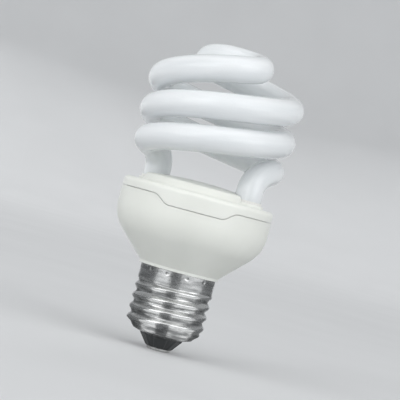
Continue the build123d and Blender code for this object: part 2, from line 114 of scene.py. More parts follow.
class Sheet:
    """A node tree that is filled from left to right."""

    def __init__(self, tree: bpy.types.NodeTree) -> None:
        """Keep the node tree to fill."""
        self.tree = tree

    def feed(self, socket: Socket, value: Feed) -> None:
        """Link a socket to another, or set its own value.

        Args:
            socket: the input socket.
            value: an output socket, or a plain value.
        """
        if isinstance(value, Socket):
            self.tree.links.new(value, socket)
        else:
            socket.default_value = value

    def add(self, kind: str, feeds: Feeds | None = None, **settings: Any) -> bpy.types.Node:
        """Add a node.

        Args:
            kind: the node's type name.
            feeds: input name or number to a socket or value.
            settings: the node's own properties.

        Returns:
            The new node.
        """
        node = self.tree.nodes.new(kind)
        for key, value in settings.items():
            setattr(node, key, value)
        for key, value in (feeds or {}).items():
            self.feed(node.inputs[key], value)
        return node

    def math(self, operation: str, first: Feed, second: Feed = 0.0) -> Socket:
        """Result of a Math node on one or two values."""
        return self.add("ShaderNodeMath", {0: first, 1: second}, operation=operation).outputs[0]

    def vector(self, operation: str, first: Feed, second: Feed) -> Socket:
        """Result of a Vector Math node on two vectors."""
        node = self.add("ShaderNodeVectorMath", {0: first, 1: second}, operation=operation)
        return node.outputs["Value" if operation == "DOT_PRODUCT" else "Vector"]

    def scaled(self, vector: Feed, factor: Feed) -> Socket:
        """Vector times a number."""
        node = self.add("ShaderNodeVectorMath", {0: vector, "Scale": factor}, operation="SCALE")
        return node.outputs["Vector"]

    def combined(self, across: Feed, deep: Feed, height: Feed) -> Socket:
        """Vector of three numbers."""
        return self.add("ShaderNodeCombineXYZ", {0: across, 1: deep, 2: height}).outputs[0]

    def ramp(
        self, value: Feed, low: Feed, high: Feed,
        start: Feed = 0.0, end: Feed = 1.0, smooth: bool = False,
    ) -> Socket:
        """Value that goes from start to end as the input goes from low to high, held outside.

        Args:
            value: the input.
            low: input at which the result is start.
            high: input at which the result is end.
            start: result at and before low.
            end: result at and after high.
            smooth: eased at both ends, where true.

        Returns:
            The result's socket.
        """
        shape = "SMOOTHSTEP" if smooth else "LINEAR"
        feeds = {"Value": value, "From Min": low, "From Max": high, "To Min": start, "To Max": end}
        return self.add("ShaderNodeMapRange", feeds, interpolation_type=shape).outputs["Result"]


class ShapeSheet(Sheet):
    """A geometry node tree with named sizes, which makes one piece."""

    def __init__(self, name: str) -> None:
        """Start a tree with one geometry output.

        Args:
            name: the piece's name.
        """
        super().__init__(bpy.data.node_groups.new(name, "GeometryNodeTree"))
        self.name = name
        face = self.tree.interface
        face.new_socket("Geometry", in_out="OUTPUT", socket_type="NodeSocketGeometry")
        self.source = self.tree.nodes.new("NodeGroupInput")
        self.values: dict[str, Any] = {}

    def size(self, name: str, value: Union[float, int, Vector]) -> Socket:
        """Add a named input to the tree.

        Args:
            name: the input's name.
            value: its value, a number or a vector.

        Returns:
            The input's socket inside the tree.
        """
        kinds = {float: "NodeSocketFloat", int: "NodeSocketInt", Vector: "NodeSocketVector"}
        item = self.tree.interface.new_socket(name, in_out="INPUT", socket_type=kinds[type(value)])
        self.values[item.identifier] = list(value) if isinstance(value, Vector) else value
        return self.source.outputs[name]

    def geometry(self, kind: str, feeds: Feeds | None = None, **settings: Any) -> Socket:
        """First output of a new geometry node."""
        return self.add(f"GeometryNode{kind}", feeds, **settings).outputs[0]

    def piecewise(self, along: Feed, stops: Sequence[float], values: Sequence[Feed]) -> Socket:
        """Value that runs in straight steps through given values at given stops.

        Args:
            along: the running value.
            stops: places of the values, rising.
            values: the value at each stop.

        Returns:
            The result's socket.
        """
        total: Feed = values[0]
        for low, high, before, after in zip(stops, stops[1:], values, values[1:]):
            step = self.math("SUBTRACT", after, before)
            total = self.math("ADD", total, self.ramp(along, low, high, 0.0, step))
        return total

    def outline(self, share: Feed, stops: Sequence[float], corners: Sequence[Pair]) -> list[Socket]:
        """Radius and height along a turned outline, whose corners are named sizes.

        Args:
            share: the running share of the outline.
            stops: share at each corner, rising.
            corners: radius and height of each corner in metres.

        Returns:
            The radius and the height.
        """
        results = []
        for label, values in zip(("Radius", "Height"), zip(*corners)):
            sizes = [self.size(f"Corner {i} {label}", value) for i, value in enumerate(values)]
            results.append(self.piecewise(share, stops, sizes))
        return results

    def round_grid(self, steps: tuple[int, int]) -> tuple[bpy.types.Node, Socket, Socket]:
        """Flat grid to be wrapped round the lamp's axis.

        Args:
            steps: faces round the axis and along the outline.

        Returns:
            The grid's node, the angle round the axis and the share along the outline.
        """
        counts = {"Vertices X": steps[0] + 1, "Vertices Y": steps[1] + 1}
        grid = self.add("GeometryNodeMeshGrid", {"Size X": 1.0, "Size Y": 1.0, **counts})
        spot = self.add("ShaderNodeSeparateXYZ", {0: self.geometry("InputPosition")}).outputs
        angle = self.math("MULTIPLY", self.math("ADD", spot[0], 0.5), TURN)
        return grid, angle, self.math("ADD", spot[1], 0.5)

    def wound(self, radius: Feed, angle: Feed, height: Feed) -> Socket:
        """Place at a distance from the axis, an angle round it and a height."""
        turn = [self.math(name, angle) for name in ("COSINE", "SINE")]
        return self.combined(*(self.math("MULTIPLY", radius, part) for part in turn), height)

    def merged(self, geometry: Feed, distance_mm: float) -> Socket:
        """Geometry with points closer than a distance made one."""
        feeds = {0: geometry, "Distance": distance_mm * MM}
        return self.geometry("MergeByDistance", feeds)

    def wrap(self, grid: bpy.types.Node, angle: Feed, radius: Feed, height: Feed) -> Socket:
        """Wrap a grid round the axis to a turned surface, and close its seam."""
        feeds = {"Geometry": grid.outputs["Mesh"], "Position": self.wound(radius, angle, height)}
        return self.merged(self.geometry("SetPosition", feeds), SEAM_MERGE_MM)

    def sector(self, angle: Feed, count: Feed) -> Socket:
        """Angle from the middle of the nearest of some even sectors.

        Args:
            angle: angle round the axis.
            count: number of sectors.

        Returns:
            The angle's socket.
        """
        width = self.math("DIVIDE", TURN, count)
        share = self.math("FRACT", self.math("DIVIDE", angle, width))
        return self.math("MULTIPLY", self.math("SUBTRACT", share, 0.5), width)

    def keep(self, name: str, geometry: Feed, value: Feed, kind: str = "FLOAT") -> Socket:
        """Keep a value of a given data type on the geometry's points, for the finish to read."""
        feeds = {"Geometry": geometry, "Name": name, "Value": value}
        return self.geometry("StoreNamedAttribute", feeds, data_type=kind)

    def make(self, geometry: Feed, finish: bpy.types.Material) -> bpy.types.Object:
        """Close the tree, run it once and keep its result as a plain mesh.

        Args:
            geometry: the geometry that the tree gives.
            finish: the piece's material.

        Returns:
            The piece, at the origin, with no modifier.
        """
        smooth = self.geometry("SetShadeSmooth", {"Geometry": geometry})
        feeds = {"Geometry": self.geometry("RealizeInstances", {0: smooth}), "Material": finish}
        self.add("NodeGroupOutput", {0: self.geometry("SetMaterial", feeds)})
        piece = bpy.data.objects.new(self.name, bpy.data.meshes.new(self.name))
        bpy.context.scene.collection.objects.link(piece)
        modifier = piece.modifiers.new(self.name, "NODES")
        modifier.node_group = self.tree
        for identifier, value in self.values.items():
            modifier[identifier] = value
        keep_result(piece)
        return piece


def keep_result(piece: bpy.types.Object) -> None:
    """Replace a piece's mesh by what its modifiers make of it, and remove them.

    Args:
        piece: the piece, with its modifiers.
    """
    graph = bpy.context.evaluated_depsgraph_get()
    mesh = bpy.data.meshes.new_from_object(piece.evaluated_get(graph))
    piece.modifiers.clear()
    piece.data = mesh
    mesh.name = piece.name


def stand_for(piece: bpy.types.Object, slot: Slot, *nodes: str) -> None:
    """Let a piece ride on the lamp in place of its frame nodes.

    Args:
        piece: the finished piece.
        slot: the record's slot of the piece, which is not used.
        nodes: names of the frame nodes that it stands for.
    """
    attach(piece, BODY)
    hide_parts(*nodes)
    faces = len(piece.data.polygons)
    LOG.info("%s: %d faces, stands for %s", piece.name, faces, ", ".join(nodes))


class FinishSheet(Sheet):
    """The node tree of one material."""

    def __init__(self, name: str) -> None:
        """Start a material with its shader and the piece's own coordinates.

        Args:
            name: the material's name.
        """
        self.material = bpy.data.materials.new(name)
        self.material.use_nodes = True
        super().__init__(self.material.node_tree)
        self.shader = self.tree.nodes["Principled BSDF"]
        self.place = self.add("ShaderNodeTexCoord").outputs["Object"]

    def set(self, **sockets: Feed) -> None:
        """Set or link the shader's sockets, named with underscores for spaces."""
        for name, value in sockets.items():
            self.feed(self.shader.inputs[name.replace("_", " ")], value)

    def noise(self, size_mm: float, place: Feed | None = None, detail: float = 2.0) -> Socket:
        """Cloudy noise from 0 to 1.

        Args:
            size_mm: about the size of a cloud.
            place: the coordinates, or the piece's own where left out.
            detail: number of finer layers.

        Returns:
            The noise's socket.
        """
        where = self.place if place is None else place
        feeds = {"Vector": where, "Scale": 1 / (size_mm * MM), "Detail": detail}
        return self.add("ShaderNodeTexNoise", feeds).outputs[0]

    def blend(self, share: Feed, first: Triple, second: Triple) -> Socket:
        """Colour between two colours, by the share of the second."""
        feeds = {"Factor": share, "A": (*first, 1.0), "B": (*second, 1.0)}
        return self.add("ShaderNodeMix", feeds, data_type="RGBA").outputs["Result"]

    def bump(self, height: Feed, depth_mm: float) -> None:
        """Raise and lower the surface by a height field of a given depth."""
        feeds = {"Height": height, "Distance": depth_mm * MM, "Strength": 1.0}
        self.set(Normal=self.add("ShaderNodeBump", feeds).outputs[0])


@dataclass(frozen=True)
class Finish:
    """The recipe of a material."""

    name: str

    def fill(self, sheet: FinishSheet) -> None:
        """Fill the material's tree, which each recipe does in its own way."""
        raise NotImplementedError

    def make(self) -> bpy.types.Material:
        """Build the material.

        Returns:
            The material.
        """
        sheet = FinishSheet(self.name)
        self.fill(sheet)
        return sheet.material


@dataclass(frozen=True)
class CoatedGlass(Finish):
    """Clear glass over a white powder coat, washed along the tube, with faint streaks left."""

    name: str = "white_coated_glass"
    powder: Triple = (0.82, 0.842, 0.855)
    thin_powder: Triple = (0.735, 0.762, 0.778)
    streak_mm: float = 2.6
    streak_range: Pair = (0.38, 0.68)
    streak_share: float = 0.75
    stretch: float = 9.0
    grain_mm: float = 0.3
    roughness: Pair = (0.5, 0.62)
    powder_gloss: float = 0.15
    spread_mm: float = 5.0
    spread_share: float = 0.45
    glass_roughness: float = 0.05
    glass_ior: float = 1.52
    ripple_mm: float = 4.0
    ripple_depth_mm: float = 0.12

    def fill(self, sheet: FinishSheet) -> None:
        """Fill the material's tree, which reads the attributes kept on the tube.

        Args:
            sheet: the tree.
        """
        run = sheet.add("ShaderNodeAttribute", attribute_name="run").outputs["Fac"]
        ring = sheet.add("ShaderNodeAttribute", attribute_name="ring").outputs["Vector"]
        spot = sheet.add("ShaderNodeSeparateXYZ", {0: ring}).outputs
        place = sheet.combined(sheet.math("DIVIDE", run, self.stretch), spot[0], spot[1])
        streak = sheet.ramp(sheet.noise(self.streak_mm, place, detail=4.0), *self.streak_range)
        grain = sheet.ramp(sheet.noise(self.grain_mm), *MOST_OF_NOISE)
        streaks = sheet.math("MULTIPLY", streak, self.streak_share)
        grains = sheet.math("MULTIPLY", grain, 1 - self.streak_share)
        share = sheet.math("ADD", streaks, grains)
        sheet.set(
            Base_Color=sheet.blend(share, self.powder, self.thin_powder),
            Roughness=sheet.ramp(grain, 0.0, 1.0, *self.roughness),
            Specular_IOR_Level=self.powder_gloss,
            Subsurface_Weight=self.spread_share,
            Subsurface_Radius=EVEN_SPREAD,
            Subsurface_Scale=self.spread_mm * MM,
            Coat_Weight=1.0,
            Coat_Roughness=self.glass_roughness,
            Coat_IOR=self.glass_ior,
        )
        sheet.bump(sheet.noise(self.ripple_mm, place, detail=1.0), self.ripple_depth_mm)


@dataclass(frozen=True)
class MouldedPlastic(Finish):
    """Fine-grained moulded plastic that lets a little light in."""

    name: str = "ivory_plastic"
    colour: Triple = (0.82, 0.835, 0.79)
    shade: Triple = (0.79, 0.805, 0.76)
    cloud_mm: float = 14.0
    cloud_range: Pair = (0.35, 0.7)
    flow_mm: float = 5.0
    roughness: Pair = (0.32, 0.42)
    gloss: float = 0.5
    spread_mm: float = 1.2
    spread_share: float = 0.6
    grain_mm: float = 1.4
    grain_depth_mm: float = 0.006

    def fill(self, sheet: FinishSheet) -> None:
        """Fill the material's tree.

        Args:
            sheet: the tree.
        """
        cloud = sheet.ramp(sheet.noise(self.cloud_mm, detail=4.0), *self.cloud_range)
        flow = sheet.noise(self.flow_mm)
        sheet.set(
            Base_Color=sheet.blend(cloud, self.colour, self.shade),
            Roughness=sheet.ramp(flow, *MOST_OF_NOISE, *self.roughness),
            Specular_IOR_Level=self.gloss,
            Subsurface_Weight=self.spread_share,
            Subsurface_Radius=EVEN_SPREAD,
            Subsurface_Scale=self.spread_mm * MM,
        )
        sheet.bump(sheet.noise(self.grain_mm, detail=3.0), self.grain_depth_mm)


@dataclass(frozen=True)
class RolledMetal(Finish):
    """Bright rolled sheet with fine lines and dull streaks, and painted shade low in the thread
    roots.
    """

    name: str = "rolled_nickel"
    colour: Triple = (0.72, 0.725, 0.72)
    # dark colour of the dull streaks, and painted shade towards the thread roots
    tarnish_and_root_shade: Triple = (0.25, 0.254, 0.255)
    roughness: float = 0.21
    crest_r_mm: float = 13.1
    root_r_mm: float = 12.05
    crest_dull: float = 0.25
    dull_roughness: float = 0.12
    stretch: float = 5.0
    line_mm: float = 0.22
    line_swing: Pair = (-0.05, 0.06)
    streak_mm: float = 1.2
    streak_range: Pair = (0.38, 0.64)
    wave_mm: float = 2.2
    wave_share: float = 16.0
    depth_mm: float = 0.004

    def fill(self, sheet: FinishSheet) -> None:
        """Fill the material's tree.

        Args:
            sheet: the tree.
        """
        across = 1 / self.stretch
        place = sheet.vector("MULTIPLY", sheet.place, (across, across, 1.0))
        lines = sheet.noise(self.line_mm, place, detail=3.0)
        streak = sheet.ramp(sheet.noise(self.streak_mm, place, detail=3.0), *self.streak_range)
        spot = sheet.add("ShaderNodeSeparateXYZ", {0: sheet.place}).outputs
        squares = [sheet.math("POWER", spot[i], 2.0) for i in (0, 1)]
        from_axis = sheet.math("SQRT", sheet.math("ADD", *squares))
        # painted shade: the dark colour's share rises towards the thread roots, where the hollows
        # would be shaded, and the dull streaks mask it
        low = sheet.ramp(from_axis, self.root_r_mm * MM, self.crest_r_mm * MM, 1.0, 0.0)
        dull_and_root_shade = sheet.math("MULTIPLY", sheet.math("ADD", low, self.crest_dull), streak)
        swing = sheet.ramp(lines, *MOST_OF_NOISE, *self.line_swing)
        rough = sheet.math("ADD", swing, self.roughness)
        sheet.set(
            Base_Color=sheet.blend(dull_and_root_shade, self.colour, self.tarnish_and_root_shade),
            Metallic=1.0,
            Roughness=sheet.math("ADD", rough, sheet.math("MULTIPLY", dull_and_root_shade, self.dull_roughness)),
        )
        wave = sheet.math("MULTIPLY", sheet.noise(self.wave_mm), self.wave_share)
        sheet.bump(sheet.math("ADD", lines, wave), self.depth_mm)


@dataclass(frozen=True)
class DarkGlass(Finish):
    """Opaque pressed glass, slightly dusty."""

    name: str = "pressed_black_glass"
    colour: Triple = (0.03, 0.033, 0.034)
    dust: Triple = (0.038, 0.042, 0.043)
    dust_mm: float = 1.6
    dust_range: Pair = (0.45, 0.75)
    roughness: Pair = (0.3, 0.42)
    gloss: float = 0.5
    dimple_mm: float = 0.9
    dimple_depth_mm: float = 0.02

    def fill(self, sheet: FinishSheet) -> None:
        """Fill the material's tree.

        Args:
            sheet: the tree.
        """
        dust = sheet.ramp(sheet.noise(self.dust_mm, detail=5.0), *self.dust_range)
        sheet.set(
            Base_Color=sheet.blend(dust, self.colour, self.dust),
            Roughness=sheet.ramp(dust, 0.0, 1.0, *self.roughness),
            Specular_IOR_Level=self.gloss,
        )
        sheet.bump(sheet.noise(self.dimple_mm), self.dimple_depth_mm)


@dataclass(frozen=True)
class PartFinish(Finish):
    """Finish of a small part: two tones, a grain and a sheen."""

    colour: Triple
    second: Triple
    roughness: float
    grain_mm: float
    metallic: float = 0.0
    depth_mm: float = 0.01
    tone_range: Pair = (0.35, 0.68)
    roughness_swing: float = 0.06

    def fill(self, sheet: FinishSheet) -> None:
        """Fill the material's tree.

        Args:
            sheet: the tree.
        """
        grain = sheet.noise(self.grain_mm, detail=4.0)
        tone = sheet.ramp(grain, *self.tone_range)
        rough = (self.roughness - self.roughness_swing, self.roughness + self.roughness_swing)
        sheet.set(
            Base_Color=sheet.blend(tone, self.colour, self.second),
            Roughness=sheet.ramp(grain, *MOST_OF_NOISE, *rough),
            Metallic=self.metallic,
        )
        sheet.bump(grain, self.depth_mm)


@dataclass(frozen=True)
class StudioPaper(Finish):
    """Matt paper, lifted a little where it is seen directly or in a reflection."""

    colour: Triple
    lift: float
    cloud_mm: float = 80.0
    shade: Pair = (0.97, 1.0)
    roughness: float = 0.9
    gloss: float = 0.1

    def fill(self, sheet: FinishSheet) -> None:
        """Fill the material's tree.

        Args:
            sheet: the tree.
        """
        path = sheet.add("ShaderNodeLightPath").outputs
        seen = sheet.math("ADD", path["Is Camera Ray"], path["Is Glossy Ray"])
        seen = sheet.math("ADD", seen, path["Is Transmission Ray"])
        cloud = sheet.ramp(sheet.noise(self.cloud_mm), *MOST_OF_NOISE, *self.shade)
        colour = sheet.scaled(self.colour, cloud)
        sheet.set(
            Base_Color=colour,
            Roughness=self.roughness,
            Specular_IOR_Level=self.gloss,
            Emission_Color=colour,
            Emission_Strength=sheet.math("MULTIPLY", seen, self.lift),
        )


@dataclass
class SpiralTube:
    """The glass tube: two arms, half a turn apart, that meet on the axis. In mm and degrees."""

    finish: CoatedGlass = CoatedGlass()
    tube_d: float = 9.0
    turn_gap: float = 2.0
    coil_d: float = 53.6
    coil_start_z: float = 66.4
    leg_r: float = 18.18
    leg_bearing: float = -29.7
    leg_top_z: float = 58.5
    leg_end_z: float = 50.2
    pinch_z: float = 47.6
    tube_end_z: float = 46.2
    pinch_w: float = 10.4
    pinch_t: float = 2.8
    bend_pull: float = 1.25
    bend_end_angle: float = 24.0
    coil_end_angle: float = 345.0
    curl_back_angle: float = 450.0
    curl_r: float = 8.8
    curl_start_pull: float = 14.6
    curl_back_pull: float = 12.0
    curl_slope: float = 0.2
    curl_lift: float = 1.7
    curl_lobe_rise: float = 2.9
    curl_crown_rise: float = 4.5
    helix_points: int = 240
    bend_points: int = 64
    ring_steps: int = 48
    ring_gap: float = 0.6

    @property
    def coil_r(self) -> float:
        """Radius of the coil's centre line."""
        return (self.coil_d - self.tube_d) / 2

    @property
    def lead(self) -> float:
        """Rise of an arm in one turn."""
        return 2 * (self.tube_d + self.turn_gap)

    def on_coil(self, angle: float) -> Vector:
        """Point of the coil's centre line at an angle from the start of an arm."""
        return polar(self.coil_r, angle, self.coil_start_z + self.lead * angle / 360)

    def along_coil(self, angle: float) -> Vector:
        """Direction of the coil's centre line at an angle from the start of an arm."""
        return polar(self.coil_r, angle + 90, self.lead / TURN).normalized()

    def leg(self, height: float) -> Vector:
        """Point of the first leg's axis at a height."""
        return polar(self.leg_r, self.leg_bearing, height)

    def bends(self) -> dict[str, tuple[Vector, Vector, Vector, Vector]]:
        """The arm's bends.

        Returns:
            Name to a start, two handles and an end.
        """
        knee = self.leg(self.leg_top_z)
        join = self.on_coil(self.bend_end_angle)
        pull = (join - knee).length * self.bend_pull / 3
        join_handle = join - self.along_coil(self.bend_end_angle) * pull
        start = self.on_coil(self.coil_end_angle)
        start_handle = start + self.along_coil(self.coil_end_angle) * self.curl_start_pull
        back_z = self.on_coil(self.curl_back_angle).z + self.curl_lift
        back = Vector((0, 2 * self.curl_r, back_z))
        lobe = back + Vector((-self.curl_r, -self.curl_r, self.curl_lobe_rise))
        crown = back + Vector((0, -2 * self.curl_r, self.curl_crown_rise))
        quarter = self.curl_r * QUARTER_HANDLE
        to_left = Vector((-1, 0, self.curl_slope))
        to_front = Vector((0, -1, self.curl_slope))
        return {
            "Bend": (knee, knee + Vector((0, 0, pull)), join_handle, join),
            "Curl In": (start, start_handle, back - to_left * self.curl_back_pull, back),
            "Lobe": (back, back + to_left * quarter, lobe - to_front * quarter, lobe),
            "Crown": (lobe, lobe + to_front * quarter, crown - Vector((quarter, 0, 0)), crown),
        }

    def helix(self, sheet: ShapeSheet) -> Socket:
        """Centre line of an arm's coil, as a straight line that is wound round the axis.

        Args:
            sheet: the tube's tree.

        Returns:
            The curve's socket.
        """
        feeds = {"Curve": sheet.geometry("CurvePrimitiveLine"), "Count": self.helix_points}
        line = sheet.geometry("ResampleCurve", feeds)
        share = sheet.add("GeometryNodeSplineParameter").outputs["Factor"]
        first = sheet.size("Coil From Angle", math.radians(self.bend_end_angle))
        last = sheet.size("Coil To Angle", math.radians(self.coil_end_angle))
        angle = sheet.ramp(share, 0.0, 1.0, first, last)
        radius = sheet.size("Coil Radius", self.coil_r * MM)
        rise = sheet.math("MULTIPLY", angle, sheet.size("Rise Per Radian", self.lead * MM / TURN))
        height = sheet.math("ADD", sheet.size("Coil Start", self.coil_start_z * MM), rise)
        feeds = {"Geometry": line, "Position": sheet.wound(radius, angle, height)}
        return sheet.geometry("SetPosition", feeds)

    def centre_line(self, sheet: ShapeSheet) -> Socket:
        """One curve from foot to foot, evenly divided, of an arm and its half turn.

        Args:
            sheet: the tube's tree.

        Returns:
            The curve's socket, with the length so far kept on its points.
        """
        foot = sheet.size("Leg Foot", self.leg(self.tube_end_z) * MM)
        knee = sheet.size("Leg Top", self.leg(self.leg_top_z) * MM)
        leg = sheet.geometry("CurvePrimitiveLine", {"Start": foot, "End": knee})
        runs = [leg, self.helix(sheet)]
        for name, points in self.bends().items():
            labels = ("Start", "Start Handle", "End Handle", "End")
            feeds: Feeds = {"Resolution": self.bend_points}
            for label, point in zip(labels, points):
                feeds[label] = sheet.size(f"{name} {label}", point * MM)
            runs.append(sheet.geometry("CurvePrimitiveBezierSegment", feeds, mode="POSITION"))
        arm = sheet.add("GeometryNodeJoinGeometry")
        for run in runs:
            sheet.feed(arm.inputs[0], run)
        edges = sheet.geometry("CurveToMesh", {"Curve": arm.outputs[0]})
        half_turn = {"Geometry": edges, "Rotation": (0.0, 0.0, math.pi)}
        pair = sheet.add("GeometryNodeJoinGeometry", {0: edges})
        sheet.feed(pair.inputs[0], sheet.geometry("Transform", half_turn))
        line = sheet.geometry("MeshToCurve", {0: sheet.merged(pair.outputs[0], RUN_MERGE_MM)})
        feeds = {"Curve": line, "Length": sheet.size("Ring Gap", self.ring_gap * MM)}
        line = sheet.geometry("ResampleCurve", feeds, mode="LENGTH")
        return sheet.keep("run", line, sheet.add("GeometryNodeSplineParameter").outputs["Length"])

    def press_ends(self, sheet: ShapeSheet, tube: Socket) -> Socket:
        """Flatten the two ends of the tube to blades, crosswise to the line from the axis.

        Args:
            sheet: the tube's tree.
            tube: the round tube.

        Returns:
            The socket of the tube with its pinches.
        """
        outward = sheet.size("Leg Outward", polar(1.0, self.leg_bearing, 0.0))
        sideways = sheet.size("Leg Sideways", polar(1.0, self.leg_bearing + 90, 0.0))
        spot = sheet.geometry("InputPosition")
        height = sheet.add("ShaderNodeSeparateXYZ", {0: spot}).outputs[2]
        share = sheet.ramp(height, self.leg_end_z * MM, self.pinch_z * MM, smooth=True)
        out = sheet.vector("DOT_PRODUCT", spot, outward)
        side = sheet.vector("DOT_PRODUCT", spot, sideways)
        axis = sheet.math("MULTIPLY", sheet.math("SIGN", out), self.leg_r * MM)
        from_axis = sheet.math("SUBTRACT", out, axis)
        thin = sheet.math("MULTIPLY", share, self.pinch_t / self.tube_d - 1)
        wide = sheet.math("MULTIPLY", share, self.pinch_w / self.tube_d - 1)
        shift_out = sheet.scaled(outward, sheet.math("MULTIPLY", from_axis, thin))
        shift_side = sheet.scaled(sideways, sheet.math("MULTIPLY", side, wide))
        feeds = {"Geometry": tube, "Offset": sheet.vector("ADD", shift_out, shift_side)}
        return sheet.geometry("SetPosition", feeds)

    def build(self) -> None:
        """Make the tube and let it stand for its frame node."""
        sheet = ShapeSheet("glass_spiral")
        radius = sheet.size("Tube Radius", self.tube_d / 2 * MM)
        feeds = {"Resolution": self.ring_steps, "Radius": radius}
        ring = sheet.geometry("CurvePrimitiveCircle", feeds)
        ring = sheet.keep("ring", ring, sheet.geometry("InputPosition"), "FLOAT_VECTOR")
        feeds = {"Curve": self.centre_line(sheet), "Profile Curve": ring, "Fill Caps": True}
        tube = sheet.geometry("CurveToMesh", feeds)
        piece = sheet.make(self.press_ends(sheet, tube), self.finish.make())
        stand_for(piece, Slot.GLASS, "spiral_tube")


@dataclass
class ScrewCap:
    """The rolled screw shell, its black insulator and its centre contact. In mm and degrees."""

    shell_finish: RolledMetal = RolledMetal()
    insulator_finish: DarkGlass = DarkGlass()
    contact_finish: PartFinish = PartFinish(
        "tinned_contact", (0.66, 0.66, 0.65), (0.46, 0.46, 0.45), 0.34, 0.9, 1.0
    )
    sheet_t: float = 0.3
    thread_d: float = 26.2
    thread_depth: float = 1.05
    thread_pitch: float = 3.62
    crest_z: float = 10.6
    thread_low_z: float = 6.4
    thread_fade: float = 2.4
    lip_z: float = 4.9
    lip_turn_d: float = 20.0
    lip_turn_z: float = 5.7
    lip_share: float = 0.1
    taper_top_z: float = 8.2
    skirt_d: float = 25.5
    skirt_z: float = 23.2
    cap_h: float = 27.2
    dent_count: int = 12
    dent_z: float = 26.1
    dent_mouth_r: float = 0.64
    dent_depth: float = 0.22
    contact_d: float = 8.0
    contact_t: float = 0.9
    edge_steps: int = 6
    eyelet_d: float = 3.0
    eyelet_bore_d: float = 1.9
    eyelet_top_z: float = 4.3
    insulator_tip_d: float = 8.4
    insulator_d: float = 14.8
    insulator_top_z: float = 9.4
    rib_count: int = 12
    rib_w: float = 1.1
    rib_h: float = 0.22
    rib_flat_share: float = 0.6
    rib_foot_share: float = 1.2
    rib_low_fade: float = 0.3
    rib_high_fade: float = 0.4
    shell_steps: tuple[int, int] = (320, 116)
    turned_steps: tuple[int, int] = (192, 150)
    sharp_angle: float = 35.0

    def shell_radius(self, sheet: ShapeSheet, angle: Socket, height: Socket) -> Socket:
        """Outer radius of the shell, thread and punch marks included.

        Args:
            sheet: the shell's tree.
            angle: angle round the axis.
            height: place along the axis.

        Returns:
            The radius's socket.
        """
        root_r = self.thread_d / 2 - self.thread_depth
        stops = [z * MM for z in (self.lip_z, self.lip_turn_z, self.taper_top_z)]
        lip = sheet.size("Lip Radius", self.insulator_d / 2 * MM)
        lip_turn = sheet.size("Lip Turn Radius", self.lip_turn_d / 2 * MM)
        root = sheet.size("Root Radius", root_r * MM)
        form = sheet.piecewise(height, stops, [lip, lip_turn, root])
        skirt_low = (self.skirt_z - self.thread_fade) * MM
        skirt_high = sheet.size("Skirt Height", self.skirt_z * MM)
        step = sheet.size("Skirt Step", (self.skirt_d / 2 - root_r) * MM)
        skirt = sheet.ramp(height, skirt_low, skirt_high, 0.0, step, smooth=True)
        form = sheet.math("ADD", form, skirt)
        low, full = self.thread_low_z * MM, (self.thread_low_z + self.thread_fade) * MM
        fade_in = sheet.ramp(height, low, full, smooth=True)
        fade_out = sheet.ramp(height, skirt_low, skirt_high, 1.0, 0.0, smooth=True)
        rise = sheet.math("SUBTRACT", height, sheet.size("Crest Height", self.crest_z * MM))
        turns = sheet.math("DIVIDE", rise, sheet.size("Thread Pitch", self.thread_pitch * MM))
        phase = sheet.math("SUBTRACT", sheet.math("MULTIPLY", turns, TURN), angle)
        depth = sheet.size("Thread Depth", self.thread_depth * MM)
        wave = sheet.ramp(sheet.math("COSINE", phase), -1.0, 1.0, 0.0, depth)
        thread = sheet.math("MULTIPLY", wave, sheet.math("MULTIPLY", fade_in, fade_out))
        turn = sheet.sector(angle, sheet.size("Punch Marks", self.dent_count))
        away = sheet.math("MULTIPLY", turn, self.skirt_d / 2 * MM)
        drop = sheet.math("SUBTRACT", height, sheet.size("Punch Height", self.dent_z * MM))
        squares = [sheet.math("POWER", distance, 2.0) for distance in (away, drop)]
        depth = sheet.size("Punch Depth", self.dent_depth * MM)
        mouth = (self.dent_mouth_r * MM) ** 2
        dent = sheet.ramp(sheet.math("ADD", *squares), 0.0, mouth, depth, 0.0)
        return sheet.math("SUBTRACT", sheet.math("ADD", form, thread), dent)

    def build_shell(self) -> None:
        """Make the rolled shell."""
        sheet = ShapeSheet("rolled_shell")
        grid, angle, share = sheet.round_grid(self.shell_steps)
        heights = [z * MM for z in (self.lip_z, self.lip_turn_z, self.cap_h)]
        height = sheet.piecewise(share, [0.0, self.lip_share, 1.0], heights)
        skin = sheet.wrap(grid, angle, self.shell_radius(sheet, angle, height), height)
        piece = sheet.make(skin, self.shell_finish.make())
        wall = piece.modifiers.new("wall", "SOLIDIFY")
        wall.thickness = self.sheet_t * MM
        wall.offset = -1.0
        wall.use_even_offset = False
        keep_result(piece)
        stand_for(piece, Slot.CAP, "cap_shell")

    def ribs(self, sheet: ShapeSheet, angle: Socket, radius: Socket, height: Socket) -> Socket:
        """Height of the ribs over the insulator's cone.

        Args:
            sheet: the insulator's tree.
            angle: angle round the axis.
            radius: distance from the axis.
            height: place along the axis.

        Returns:
            The height's socket.
        """
        turn = sheet.sector(angle, sheet.size("Ribs", self.rib_count))
        side = sheet.math("MULTIPLY", sheet.math("ABSOLUTE", turn), radius)
        half = self.rib_w / 2 * MM
        flat, foot = half * self.rib_flat_share, half * self.rib_foot_share
        rib = sheet.size("Rib Height", self.rib_h * MM)
        crest = sheet.ramp(side, flat, foot, rib, 0.0, smooth=True)
        low = sheet.ramp(height, self.contact_t * MM, (self.contact_t + self.rib_low_fade) * MM)
        fade_z = (self.lip_z - self.rib_high_fade) * MM
        high = sheet.ramp(height, fade_z, self.lip_z * MM, 1.0, 0.0)
        outside = sheet.ramp(radius, self.eyelet_d / 2 * MM, self.insulator_tip_d / 2 * MM)
        on_cone = sheet.math("MULTIPLY", sheet.math("MULTIPLY", low, high), outside)
        return sheet.math("MULTIPLY", crest, on_cone)

